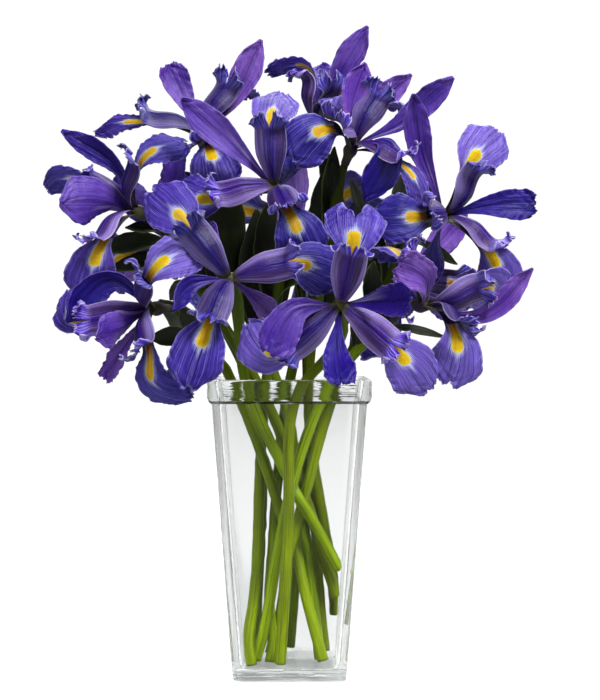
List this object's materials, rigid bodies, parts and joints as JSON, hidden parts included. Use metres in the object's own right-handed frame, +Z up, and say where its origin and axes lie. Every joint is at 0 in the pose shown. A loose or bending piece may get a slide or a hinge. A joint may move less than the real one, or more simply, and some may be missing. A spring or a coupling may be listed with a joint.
{
  "type": "irises in a vase",
  "caption": "Full bunch of cut blue-violet irises with yellow signals, their green stems and leaves standing in a tapered square clear glass vase.",
  "frame": {"origin": "centre of the vase's underside, where it stands on the table", "axes": "+Z up along the vase's middle line, -Y towards the front of the bunch, +X to the right seen from the front"},
  "size_m": [0.3357, 0.3055, 0.4547],
  "materials": {
    "glass": "clear polished moulded glass",
    "stem": "satin green plant tissue",
    "petal": "soft blue-violet petal with a yellow signal"
  },
  "bodies": {
    "root": {"vase": "glass", "iris_01_stem": "stem", "iris_01_bloom": "petal", "iris_02_stem": "stem", "iris_02_bloom": "petal", "iris_03_stem": "stem", "iris_03_bloom": "petal", "iris_04_stem": "stem", "iris_04_bloom": "petal", "iris_05_stem": "stem", "iris_05_bloom": "petal", "iris_06_stem": "stem", "iris_06_bloom": "petal", "iris_07_stem": "stem", "iris_07_bloom": "petal", "iris_08_stem": "stem", "iris_08_bloom": "petal", "iris_09_stem": "stem", "iris_09_bloom": "petal", "iris_10_stem": "stem", "iris_10_bloom": "petal", "iris_11_stem": "stem", "iris_11_bloom": "petal", "iris_12_stem": "stem", "iris_12_bloom": "petal", "iris_13_stem": "stem", "iris_13_bloom": "petal"}
  },
  "joints": []
}
